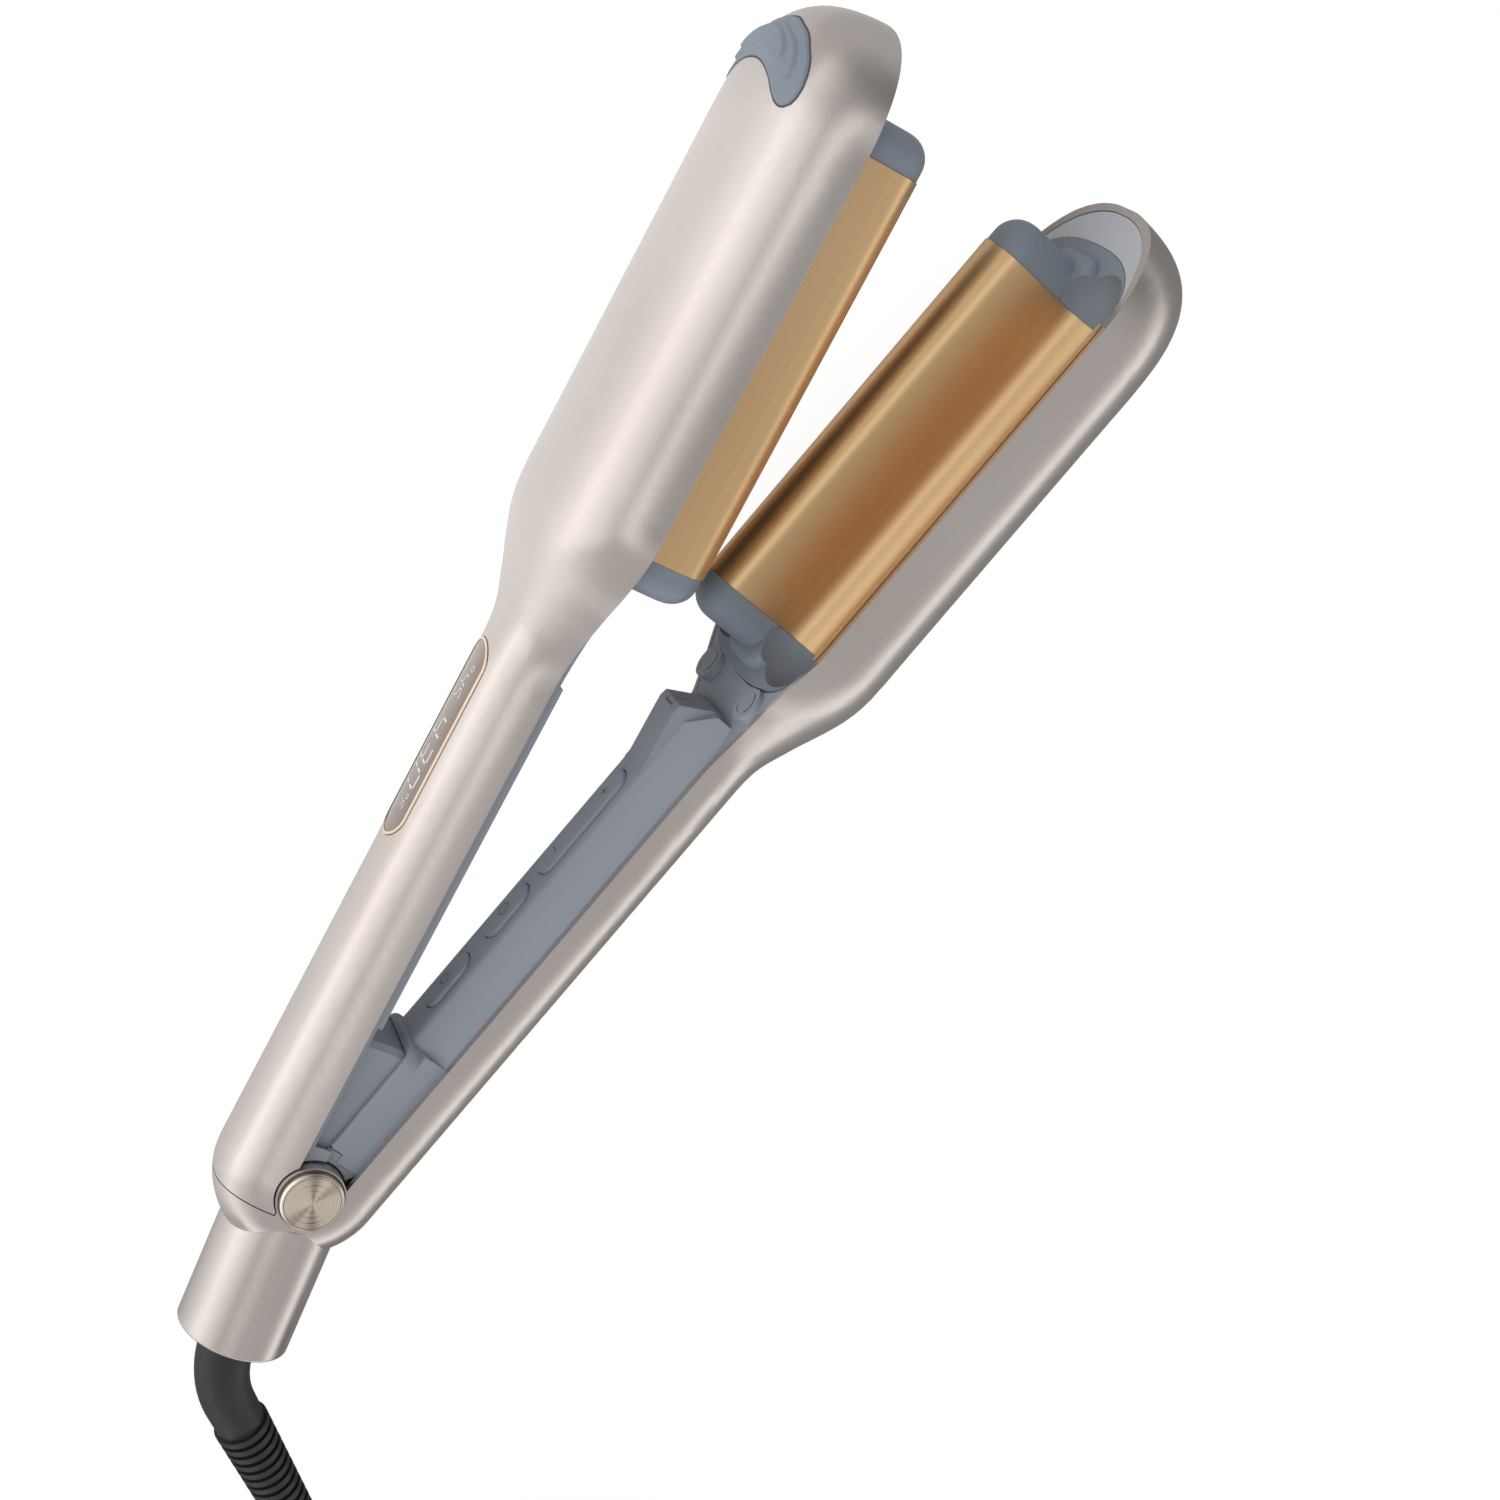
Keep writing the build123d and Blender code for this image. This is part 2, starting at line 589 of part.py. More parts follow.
def make_upper_face_plate():
    y0 = UPPER_RIM + 0.2
    plate = block(BARREL_X1 + UP_CAP_LEN + 0.1 + SEAT, TIP_X, y0, y0 + 2.3, -40, 40) & UPPER_FILL
    return plate - block(0, VALLEY_X1 + 1.4, 0, 20, -VALLEY_HALF - 1.4, VALLEY_HALF + 1.4)


def make_boot():
    """Rounded block that dips into the pocket of the lower arm and hides the wires."""
    a0 = math.radians(-OPEN_ANGLE - 1.6)
    outer = [(10.0, UPPER_RIM + 0.6), (POCKET_R - 0.3, UPPER_RIM + 0.6)]
    y_in = UPPER_RIM + 0.6
    a1 = math.asin(y_in / POCKET_R)
    for i in range(9):
        a = a1 + (a0 - a1) * i / 8
        outer.append((POCKET_R * math.cos(a), POCKET_R * math.sin(a)))
    outer.append((24.0 * math.cos(a0), 24.0 * math.sin(a0)))
    outer.append((12.2, -1.0))
    outer.append((10.0, 2.0))
    body = prism_z(outer[:1] + outer[2:], POCKET_HALF)
    tall = body.edges().filter_by(lambda e: e.center().X > POCKET_R * 0.93 and abs(abs(e.center().Z)
                                                                                   - POCKET_HALF) < 0.01)
    body = chamfer(tall, 1.4)
    hollow = block(10, POCKET_R - 5, -12, 4.6, -POCKET_HALF + 2, POCKET_HALF - 2)
    body = body - hollow
    return body


VALLEY_X0 = 157.6
VALLEY_X1 = 280.6


def make_valley():
    t = 1.2
    y0 = UPPER_RIM + 0.3
    outer = block(VALLEY_X0 - t, VALLEY_X1 + t, y0, VALLEY_FLOOR + t, -VALLEY_HALF - t, VALLEY_HALF + t)
    inner = block(VALLEY_X0, VALLEY_X1, 0, VALLEY_FLOOR, -VALLEY_HALF, VALLEY_HALF)
    body = outer - inner
    side_room = Part()
    for side in (1, -1):
        lo, hi = sorted((side * (VALLEY_HALF - 0.02), side * (VALLEY_HALF + 3)))
        side_room = side_room + block(BARREL_X0 - UP_CAP_LEN - 0.2, BARREL_X1 + UP_CAP_LEN + 0.2, 0,
                                      UP_RIDGE_ROOT + 0.15, lo, hi)
    body = body - side_room
    body = body - block(0, VALLEY_X0 + 0.01, 0, UPPER_RIM + 2.8, -40, 40)
    body = body - block(VALLEY_X1 - 0.01, 400, 0, UPPER_RIM + 2.8, -40, 40)
    return body & UPPER_FILL


def u_section(r, root):
    centre = UP_RIDGE_BOTTOM + UP_RIDGE_R
    shape = Pos(0, centre) * Circle(r) + Pos(0, (centre + root) / 2) * Rectangle(2 * r, root - centre)
    return shape


def make_upper_plate(side):
    centre = UP_RIDGE_BOTTOM + UP_RIDGE_R
    sheet = u_section(UP_RIDGE_R, UP_RIDGE_ROOT) - u_section(UP_RIDGE_R - SHEET, UP_RIDGE_ROOT + 5)
    sheet = sheet - Pos(0, centre + 1) * Rectangle(2 * (UP_RIDGE_R - SHEET), 2)
    lip1 = HEAD_HALF - WALL - 0.7 - GUTTER_Z
    lip = Pos(side * (UP_RIDGE_R - 0.1 + lip1) / 2, UPPER_RIM + 0.2 + SHEET / 2) * \
        Rectangle(lip1 - UP_RIDGE_R + 0.1, SHEET)
    return along_x(Pos(side * GUTTER_Z, 0) * (sheet + lip), BARREL_X0, BARREL_X1)


def make_upper_cap(side, front):
    r = UP_RIDGE_R - CAP_STEP
    solid = along_x(u_section(r, UP_RIDGE_ROOT), 0, UP_CAP_LEN)
    end = solid.faces().sort_by(Axis.X)[-1]
    edges = [e for e in end.edges() if e.center().Y < UP_RIDGE_ROOT - 0.5]
    solid = fillet(edges, 6.0)
    if front:
        return Pos(BARREL_X1 + 0.1, 0, side * GUTTER_Z) * solid
    return Pos(BARREL_X0 - 0.1, 0, side * GUTTER_Z) * mirror(solid, Plane.YZ)


def make_upper_heater(side):
    half = UP_RIDGE_R - SHEET - SEAT
    return along_x(Pos(side * GUTTER_Z, 5.2) * Rectangle(2 * half, 6), BARREL_X0 + 5, BARREL_X1 - 5)


def make_upper_heater_bracket():
    y0 = 8.2 + SEAT
    frame = Part()
    for side in (1, -1):
        lo, hi = sorted((side * (VALLEY_HALF + 1.2 + SEAT), side * (GUTTER_Z + UP_RIDGE_R)))
        frame = frame + block(BARREL_X0 + 2, BARREL_X1 - 2, y0, y0 + 2.0, lo, hi)
        for x in (BARREL_X0 + 14, (BARREL_X0 + BARREL_X1) / 2, BARREL_X1 - 14):
            rib = block(x - 1.2, x + 1.2, y0, 40, *sorted((side * 11.0, side * 24.0)))
            frame = frame + (rib & UPPER_FILL)
    return frame & UPPER_FILL


def make_window():
    lens = plan(pill(WINDOW_X0, WINDOW_X1, WINDOW_HALF), 16.4, 40) & UPPER_OUT
    return lens


def make_bezel():
    ring = pill(WINDOW_X0 - BEZEL, WINDOW_X1 + BEZEL, WINDOW_HALF + BEZEL) - \
        pill(WINDOW_X0 - 0.02, WINDOW_X1 + 0.02, WINDOW_HALF + 0.02)
    proud = arm_form(UPPER_HEAD_DEEP, 1, 0.0, 0.25)
    return plan(ring, 17.0, 40) & proud


def make_display_board():
    return block(WINDOW_X0 - 3, WINDOW_X1 + 3, 14.7, 16.3, -7.6, 7.6)


# ---------------------------------------------------------------- cord end
def make_collar():
    tube = disc_z(COLLAR_R, 10, COLLAR_END)
    tube = fillet(tube.faces().sort_by(Axis.Z)[-1].edges(), 0.8)
    tube = tube - disc_z(COLLAR_R - COLLAR_WALL, 5, COLLAR_END - 2.2)
    tube = tube - disc_z(STEM_R + RUN, 0, 80)
    return collar_place(tube) - HUB_OUT


def make_slip_ring():
    body = disc_z(COLLAR_R - COLLAR_WALL - SEAT, 22, COLLAR_END - 7.6)
    body = body + disc_z(4.2, 16.5, 23) - disc_z(2.2, 0, 60)
    return collar_place(body) - HUB_OUT


def make_stem():
    body = disc_z(STEM_R, COLLAR_END - 7.2, STEM_END)
    body = body + disc_z(STEM_R + 2.6, COLLAR_END - 7.2, COLLAR_END - 2.6)
    body = fillet(body.faces().sort_by(Axis.Z)[-1].edges(), 0.4)
    return collar_place(body)


CA = math.radians(COLLAR_ANGLE)
OUT = (-math.cos(CA), -math.sin(CA))


def on_collar(s, z=0.0):
    return (OUT[0] * s, OUT[1] * s, z)


RELIEF_LEN = 62.0
RELIEF_DIR = Vector(-0.475, -0.865, -0.16).normalized()
BEND = Vector(*on_collar(58.0))
RELIEF_TIP = BEND + RELIEF_DIR * RELIEF_LEN
LEAD = [RELIEF_TIP, RELIEF_TIP + RELIEF_DIR * 26.0, Vector(-117.5, -116.0, FLOOR + CORD_R),
        Vector(-135.6, -142.0, FLOOR + CORD_R)]


def relief_path():
    return FilletPolyline(Vector(*on_collar(STEM_END)), BEND, RELIEF_TIP, radius=28.0)


def make_relief():
    """Bend sleeve: smooth root, then a ribbed taper."""
    path = relief_path()
    r0 = Plane(origin=path @ 0, z_dir=path % 0) * Circle(RELIEF_R0)
    r1 = Plane(origin=path @ 1, z_dir=path % 1) * Circle(RELIEF_R1)
    body = sweep([r0, r1], path=path, multisection=True)
    for i in range(RIBS):
        t = 0.40 + 0.56 * i / (RIBS - 1)
        r = RELIEF_R0 + (RELIEF_R1 - RELIEF_R0) * t + 0.8
        ring = Plane(origin=path @ t, z_dir=path % t) * Circle(r)
        body = body + extrude(ring, amount=1.7)
    return body


def runs_of(points):
    """Length of each run and the half turn at each corner."""
    runs = [(b - a).length for a, b in zip(points, points[1:])]
    halves = []
    for a, b, c in zip(points, points[1:], points[2:]):
        halves.append((b - a).get_angle(c - b) / 2)
    return runs, halves


def make_cord():
    runs, halves = runs_of(LEAD)
    radii = [0.45 * min(r0, r1) / math.tan(math.radians(h))
             for r0, r1, h in zip(runs, runs[1:], halves)]
    print("cord radii", ["%.0f" % r for r in radii], "runs", ["%.0f" % r for r in runs])
    path = FilletPolyline(*LEAD, radius=radii)
    tube = sweep(Plane(origin=path @ 0, z_dir=path % 0) * Circle(CORD_R), path=path)
    print("cord lead %.0f mm, volume ratio %.3f" %
          (path.length, tube.volume / (path.length * math.pi * CORD_R ** 2)))
    turns = COIL_COLUMNS * COIL_LAYERS - 1 + (TAIL_ANGLE - 146) / 360
    print("whole lead %.0f mm" % (path.length + turns * 2 * math.pi * COIL_MID_R + 62))
    return tube - coil_form()


def coil_form():
    wide = COIL_COLUMNS * 2 * CORD_R
    high = COIL_LAYERS * 2 * CORD_R
    section = Plane.XZ * (Pos(COIL_MID_R, 0) * RectangleRounded(wide, high, CORD_R * 0.95))
    ring = revolve(section, axis=Axis.Z, revolution_arc=360)
    return Pos(COIL_CENTRE[0], COIL_CENTRE[1], FLOOR + high / 2) * ring


def on_coil(out, along, up):
    """Point beside the place where the lead leaves the coil: outwards, onwards and above the floor."""
    a = math.radians(TAIL_ANGLE)
    x = COIL_CENTRE[0] + out * math.cos(a) - along * math.sin(a)
    y = COIL_CENTRE[1] + out * math.sin(a) + along * math.cos(a)
    return Vector(x, y, FLOOR + up)


COIL_HIGH = COIL_LAYERS * 2 * CORD_R
PLUG_MID = COIL_HIGH + PLUG_THICK / 2 + 0.1
COIL_OUT_R = COIL_MID_R + (COIL_COLUMNS - 1) * CORD_R
TAIL = [on_coil(COIL_OUT_R, 1.5, COIL_HIGH - CORD_R - 0.5), on_coil(COIL_OUT_R - 1.2, TAIL_SIDE, 18.5),
        on_coil(12.0, TAIL_SIDE, PLUG_MID)]


def make_tail():
    path = FilletPolyline(*TAIL, radius=28.0)
    tube = sweep(Plane(origin=path @ 0, z_dir=path % 0) * Circle(CORD_R), path=path)
    outside = (Part() + tube) - coil_form() - make_plug()
    return outside.solids().sort_by(SortBy.VOLUME)[-1]


def plug_place(shape):
    """Plug pieces are drawn along +X from the lead's end and laid on the coil."""
    return Location(on_coil(14.0, TAIL_SIDE, PLUG_MID)) * Rot(0, 0, TAIL_ANGLE + 180) * shape


def make_plug():
    body = Pos(PLUG_LENGTH / 2 + 9, 0, 0) * Box(PLUG_LENGTH - 12, PLUG_WIDE, PLUG_THICK)
    body = fillet(body.edges().filter_by(Axis.X), 4.0)
    body = fillet(body.faces().sort_by(Axis.X)[0].edges(), 3.0)
    neck = Pos(8, 0, 0) * Rot(0, 90, 0) * Cone(4.6, 6.4, 16)
    return plug_place(body + neck)


def make_plug_pins():
    x0 = PLUG_LENGTH + 3.05
    pins = Part()
    for side in (1, -1):
        blade = Pos(x0 + 8, side * 6.35, 0) * Box(16, 1.5, 6.4)
        blade = chamfer(blade.faces().sort_by(Axis.X)[-1].edges(), 0.4)
        pins = pins + blade
    return plug_place(pins)


def make_tie():
    """Strap round the coil's section."""
    a = math.radians(95)
    wide = COIL_COLUMNS * 2 * CORD_R
    high = COIL_LAYERS * 2 * CORD_R
    outer = Box(wide + 2.4, 9, high + 1.2)
    outer = fillet(outer.edges().filter_by(Axis.Y), 3.6)
    inner = fillet(Box(wide + 0.02, 20, high + 0.02).edges().filter_by(Axis.Y), 3.2)
    strap = Pos(COIL_MID_R, 0, 0.6) * outer - Pos(COIL_MID_R, 0, 0) * inner
    place = Pos(COIL_CENTRE[0], COIL_CENTRE[1], FLOOR + high / 2) * Rot(0, 0, math.degrees(a))
    strap = place * strap
    return (strap & block(-400, 400, -400, 400, FLOOR + 0.01, 100)) - coil_form()


def make_upper_screws():
    screws = Part()
    for x in (VALLEY_X0 + 6, VALLEY_X1 - 6):
        screws = screws + post_y(2.6, VALLEY_FLOOR - 0.9, VALLEY_FLOOR - 0.05, x, 0)
        screws = screws - post_y(0.9, 0, VALLEY_FLOOR - 0.4, x, 0)
    return screws


def main():
    floor_cut = block(-60, 320, -60, 160, -REST_HALF, REST_HALF)
    save(make_lower_casing() & floor_cut, "lower_casing")
    save(make_lower_liner(), "lower_liner")
    save(make_face_plate(), "lower_face_plate")
    save(make_front_cap(), "lower_front_cap")
    save(make_rear_cap(), "lower_rear_cap")
    save(make_lower_plate(), "lower_heated_plate")
    save(make_lower_heater(), "lower_heater")
    save(make_lower_heater_bracket(), "lower_heater_bracket")
    save(make_thumb_rest(LOWER_OUT, LOWER_HEAD_DEEP, -1, 0.7), "lower_thumb_rest")
    save(make_control_board(), "control_board")
    save(make_lower_screws(), "lower_screws")
    save(make_screw_plugs(), "screw_plugs")
    save(make_key(POWER_X, KEY_LEN), "power_key")
    save(make_key(TIMER_X, KEY_LEN), "timer_key")
    save(make_key(ROCKER_X, ROCKER_LEN, -6.5, 0.55), "temperature_rocker")
    save(make_hinge_pin(), "hinge_pin")
    save(make_hinge_cap(1), "hinge_cap_near")
    save(make_hinge_cap(-1), "hinge_cap_far")
    save(make_torsion_spring(), "torsion_spring")
    save(make_collar(), "cord_collar")
    save(make_slip_ring(), "slip_ring")

    save(opened(make_upper_casing()) & floor_cut, "upper_casing")
    save(opened(make_upper_liner()), "upper_liner")
    save(opened(make_upper_face_plate()), "upper_face_plate")
    save(opened(make_valley()), "valley_insulator")
    save(opened(make_upper_screws()), "valley_screws")
    for side, word in ((1, "near"), (-1, "far")):
        save(opened(make_upper_plate(side)), "upper_heated_plate_" + word)
        save(opened(make_upper_heater(side)), "upper_heater_" + word)
        save(opened(make_upper_cap(side, True)), "upper_front_cap_" + word)
        save(opened(make_upper_cap(side, False)), "upper_rear_cap_" + word)
    save(opened(make_upper_heater_bracket()), "upper_heater_bracket")
    save(opened(make_upper_bracket()), "hinge_bracket")
    save(opened(make_thumb_rest(UPPER_OUT, UPPER_HEAD_DEEP, 1)), "upper_thumb_rest")
    save(opened(make_window()), "display_window")
    save(opened(make_bezel()), "display_bezel")
    save(opened(make_display_board()), "display_board")

    save(make_stem(), "swivel_stem")
    save(make_relief(), "bend_sleeve")
    save(make_cord(), "cord")
    save(coil_form(), "cord_coil")
    save(make_tail(), "cord_tail")
    save(make_tie(), "cord_tie")
    save(make_plug(), "plug_body")
    save(make_plug_pins(), "plug_pins")


main()
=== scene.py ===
import bpy
import bmesh
import math
from mathutils import Vector, Matrix
from mathutils.bvhtree import BVHTree


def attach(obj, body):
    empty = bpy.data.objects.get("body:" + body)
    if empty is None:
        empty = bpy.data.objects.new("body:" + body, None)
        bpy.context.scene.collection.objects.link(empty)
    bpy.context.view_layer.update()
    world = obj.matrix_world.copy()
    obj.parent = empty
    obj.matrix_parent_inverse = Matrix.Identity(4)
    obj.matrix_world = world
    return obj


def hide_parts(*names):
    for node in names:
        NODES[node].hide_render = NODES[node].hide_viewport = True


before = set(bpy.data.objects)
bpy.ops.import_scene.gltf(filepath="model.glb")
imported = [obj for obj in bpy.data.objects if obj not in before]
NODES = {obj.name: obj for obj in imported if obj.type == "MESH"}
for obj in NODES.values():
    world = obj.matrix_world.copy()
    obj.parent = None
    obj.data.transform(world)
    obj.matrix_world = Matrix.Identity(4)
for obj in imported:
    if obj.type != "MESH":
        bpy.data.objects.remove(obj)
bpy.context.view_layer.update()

HINGE = Vector((-0.12347, -0.03119, 0.0302))
OPEN = math.radians(13.0)
MM = 0.001
TINY = 1e-9


# ------------------------------------------------------------------ places
def low(x, y, z):
    """Millimetres in the lower arm's frame to the row frame."""
    return HINGE + Vector((x, y, z)) * MM


def upp(x, y, z):
    """Millimetres in the upper arm's frame, with the arms open, to the row frame."""
    c, s = math.cos(OPEN), math.sin(OPEN)
    return HINGE + Vector((x * c - y * s, x * s + y * c, z)) * MM


# Each of these takes millimetres along the arm, towards its near side, and out of the named skin.
def low_face(u, v, h):
    """On the inner side of the lower arm."""
    return low(u, h, v)


def low_back(u, v, h):
    """On the back of the lower arm."""
    return low(u, -h, v)


def up_back(u, v, h):
    """On the back of the upper arm."""
    return upp(u, h, v)


# ------------------------------------------------------------------ shader sums
class Sock:
    """A shader value that can be added, multiplied, divided and passed on."""

    def __init__(self, tree, out):
        self.tree = tree
        self.out = out

    def output(self, index):
        """Another output of the same node."""
        return Sock(self.tree, self.out.node.outputs[index])

    def math(self, operation, *values):
        return Nodes(self.tree).node("Math", self, *values, settings={"operation": operation})

    def __add__(self, value):
        return self.math("ADD", value)

    def __mul__(self, value):
        return self.math("MULTIPLY", value)

    def __truediv__(self, value):
        return self.math("DIVIDE", value)

    def __rtruediv__(self, value):
        return Nodes(self.tree).node("Math", value, self, settings={"operation": "DIVIDE"})

    __radd__ = __add__
    __rmul__ = __mul__


def put(socket, value):
    """Link a shader value to a socket, or set the socket to a plain value."""
    if isinstance(value, Sock):
        value.tree.links.new(value.out, socket)
    else:
        socket.default_value = value


def grey(level):
    return (level, level, level, 1.0)


def set_stops(band, stops, interpolation):
    band.interpolation = interpolation
    while len(band.elements) < len(stops):
        band.elements.new(0.5)
    for element, (position, level) in zip(band.elements, stops):
        element.position = position
    for element, (position, level) in zip(band.elements, stops):
        element.color = grey(level)


class Nodes:
    """A node tree, and the one way in which its nodes are made."""

    def __init__(self, tree):
        self.tree = tree

    def node(self, kind, *values, out=0, settings=None, stops=None, at=None, **inputs):
        """Values go to the sockets in their order, at goes by index, and inputs go by name."""
        node = self.tree.nodes.new("ShaderNode" + kind)
        for key, value in (settings or {}).items():
            setattr(node, key, value)
        if stops:
            set_stops(node.color_ramp, *stops)
        for index, value in list(enumerate(values)) + list((at or {}).items()):
            put(node.inputs[index], value)
        for key, value in inputs.items():
            put(node.inputs[key], value)
        return Sock(self.tree, node.outputs[out])

    def ramp(self, value, low_in, high_in, low_out, high_out):
        return self.node("MapRange", value, low_in, high_in, low_out, high_out)

    def mix(self, factor, a, b):
        return self.node("Mix", out=2, settings={"data_type": "RGBA"}, at={0: factor, 6: a, 7: b})

    def vector(self, operation, *values, out=0):
        return self.node("VectorMath", *values, out=out, settings={"operation": operation})


class Paint(Nodes):
    """One material, and the few nodes that its looks are made of."""

    def __init__(self, name):
        self.mat = bpy.data.materials.new(name)
        self.mat.use_nodes = True
        super().__init__(self.mat.node_tree)
        self.shader = self.tree.nodes["Principled BSDF"]

    def place(self):
        return self.node("TexCoord", out=3)

    def noise(self, scale, detail):
        return self.node("TexNoise", Vector=self.place(), Scale=scale, Detail=detail)

    def bump(self, height, strength, distance):
        return self.node("Bump", Strength=strength, Distance=distance, Height=height)

    def set(self, **values):
        for key, value in values.items():
            put(self.shader.inputs[key.replace("_", " ")], value)
        return self.mat


def rgb(r, g, b):
    """Screen values from 0 to 255 as a linear colour."""
    out = []
    for v in (r, g, b):
        v = v / 255.0
        out.append(v / 12.92 if v <= 0.04045 else ((v + 0.055) / 1.055) ** 2.4)
    return tuple(out) + (1.0,)


# ------------------------------------------------------------------ materials
GRAIN_DEPTH = 0.0002


def plain(name, light, dark, rough=0.5, metal=0.0, grain=900.0, spread=0.05, bump=0.0, coat=0.0):
    """Base colour between two close tones, roughness that varies a little, and a fine grain."""
    p = Paint(name)
    cloud = p.noise(18.0, 3.0)
    fine = p.noise(grain, 2.0)
    values = {"Base_Color": p.mix(p.ramp(cloud, 0.3, 0.7, 0.0, 1.0), rgb(*dark), rgb(*light)),
              "Roughness": p.ramp(fine, 0.3, 0.7, rough - spread, rough + spread),
              "Metallic": metal}
    if coat:
        values["Coat_Weight"] = coat
    if bump:
        values["Normal"] = p.bump(fine, bump, GRAIN_DEPTH)
    return p.set(**values)


# Turned face: share of the way round, and how bright the painted fan of light is there; the fans
# are a painted reflection in the base colour.
PAINTED_FANS = ((0.0, 0.55), (0.05, 0.9), (0.106, 0.12), (0.16, 0.85), (0.26, 0.72), (0.40, 0.92),
           (0.453, 0.3), (0.51, 0.95), (0.55, 0.8), (0.592, 0.12), (0.64, 0.85), (0.75, 0.75),
           (0.91, 0.92), (0.967, 0.35), (1.0, 0.55))
RINGS_PER_METRE = 13000.0
RING_DEPTH = 0.00005


def turned_disc(name):
    """Face turned in fine rings about Z, with the fans of light that such a face shows painted
    into its base colour as painted reflections.
    """
    p = Paint(name)
    where = p.vector("SUBTRACT", p.place(), (HINGE.x, HINGE.y, 0.0))
    flat = p.vector("MULTIPLY", where, (1.0, 1.0, 0.0))
    radius = p.vector("LENGTH", flat, out=1)
    ring = (radius * RINGS_PER_METRE).math("SINE")
    across = p.node("SeparateXYZ", flat, out=1)
    turn = across.math("ARCTAN2", across.output(0))
    painted_fan = p.node("ValToRGB", turn / (2 * math.pi) + 0.5, stops=(PAINTED_FANS, "B_SPLINE"))
    # The base colour runs from a dark to a bright tone with the painted fans, so its dark end is
    # painted shade and its bright end painted highlight; the rings add a small ring pattern.
    rings_and_painted_sheen = p.ramp(ring, -1.0, 1.0, -0.12, 0.12) + painted_fan
    return p.set(Base_Color=p.mix(rings_and_painted_sheen, rgb(104, 86, 74), rgb(255, 242, 226)), Metallic=1.0,
                 Roughness=p.ramp(ring, -1.0, 1.0, 0.3, 0.4), Normal=p.bump(ring, 0.1, RING_DEPTH))


MOULDED = {"grain": 1600.0, "spread": 0.03}
M = {
    "casing": plain("casing_champagne", (209, 201, 196), (202, 193, 187), rough=0.3, metal=0.9,
                    grain=700.0, spread=0.015),
    "liner": plain("liner_grey_blue", (164, 171, 181), (157, 164, 175), **MOULDED),
    "caps": plain("caps_grey_blue", (141, 151, 163), (134, 144, 157), rough=0.44, **MOULDED),
    "thumb": plain("thumb_grey_blue", (145, 156, 167), (138, 149, 161), **MOULDED),
    "face": plain("face_light_grey", (208, 212, 217), (201, 205, 211), **MOULDED),
    "gold": plain("heated_gold", (233, 196, 148), (229, 191, 142), rough=0.35, metal=0.86,
                  grain=1500.0, spread=0.012),
    "insulator": plain("insulator_dark", (62, 62, 66), (52, 52, 56), rough=0.55, grain=1800.0),
    "steel": plain("steel_bright", (186, 186, 190), (168, 168, 172), rough=0.34, metal=1.0),
    "board": plain("circuit_green", (40, 96, 62), (30, 82, 52)),
    "ceramic": plain("ceramic_white", (232, 230, 224), (222, 220, 214), rough=0.6),
    "window": plain("window_taupe", (150, 131, 118), (138, 120, 108), rough=0.2, coat=0.6),
    "bezel": plain("bezel_rose_gold", (240, 218, 198), (232, 208, 186), rough=0.22, metal=1.0),
    "black": plain("lead_black", (40, 40, 43), (30, 30, 33), grain=1500.0, bump=0.04),
    "brass": plain("pins_brass", (206, 184, 130), (196, 172, 116), rough=0.3, metal=1.0),
    "digits": plain("digits_white", (250, 250, 250), (240, 240, 240), rough=0.4),
    # Dark colour drawn along real gaps and edges as painted shade.
    "seam": plain("seam_shadow", (96, 94, 98), (82, 80, 84), rough=0.7),
    "icon": plain("icon_grey", (104, 114, 126), (94, 104, 116), rough=0.6),
    "turned": turned_disc("turned_champagne"),
}
LOOKS = {
    "casing": ("lower_casing", "upper_casing", "cord_collar"),
    "liner": ("lower_liner", "upper_liner", "power_key", "timer_key", "temperature_rocker",
              "screw_plugs"),
    "caps": ("lower_front_cap", "lower_rear_cap", "upper_front_cap_near", "upper_front_cap_far",
             "upper_rear_cap_near", "upper_rear_cap_far"),
    "thumb": ("lower_thumb_rest", "upper_thumb_rest"),
    "face": ("lower_face_plate", "upper_face_plate"),
    "gold": ("lower_heated_plate", "upper_heated_plate_near", "upper_heated_plate_far"),
    "insulator": ("valley_insulator", "slip_ring"),
    "ceramic": ("lower_heater", "upper_heater_near", "upper_heater_far"),
    "steel": ("lower_heater_bracket", "upper_heater_bracket", "hinge_bracket", "hinge_pin",
              "torsion_spring", "lower_screws", "valley_screws"),
    "turned": ("hinge_cap_near", "hinge_cap_far"),
    "board": ("control_board", "display_board"),
    "window": ("display_window",),
    "bezel": ("display_bezel",),
    "black": ("swivel_stem", "bend_sleeve", "cord", "cord_coil", "cord_tail", "cord_tie",
              "plug_body"),
    "brass": ("plug_pins",),
}
for look, names in LOOKS.items():
    for name in names:
        node = NODES[name]
        node.data.materials.clear()
        node.data.materials.append(M[look])


# ------------------------------------------------------------------ mesh helpers
def link(name, data):
    obj = bpy.data.objects.new(name, data)
    bpy.context.scene.collection.objects.link(obj)
    return obj


def mesh_piece(name, bm, material, body, smooth=True, doubles=0.0):
    """The finished mesh as an object that rides a body."""
    if doubles:
        bmesh.ops.remove_doubles(bm, verts=bm.verts, dist=doubles)
    bmesh.ops.recalc_face_normals(bm, faces=bm.faces)
    for face in bm.faces:
        face.smooth = smooth
    data = bpy.data.meshes.new(name)
    bm.to_mesh(data)
    bm.free()
    data.materials.append(material)
    obj = link(name, data)
    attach(obj, body)
    return obj


def thicken(bm, faces, vec):
    """Close a sheet into a solid by a second layer, moved by vec."""
    grown = bmesh.ops.extrude_face_region(bm, geom=faces, use_keep_orig=True)
    moved = [part for part in grown["geom"] if isinstance(part, bmesh.types.BMVert)]
    bmesh.ops.translate(bm, verts=moved, vec=vec)


def between(a, b, share):
    """The point or place at a share of the way from a to b."""
    return tuple(p + (q - p) * share for p, q in zip(a, b))


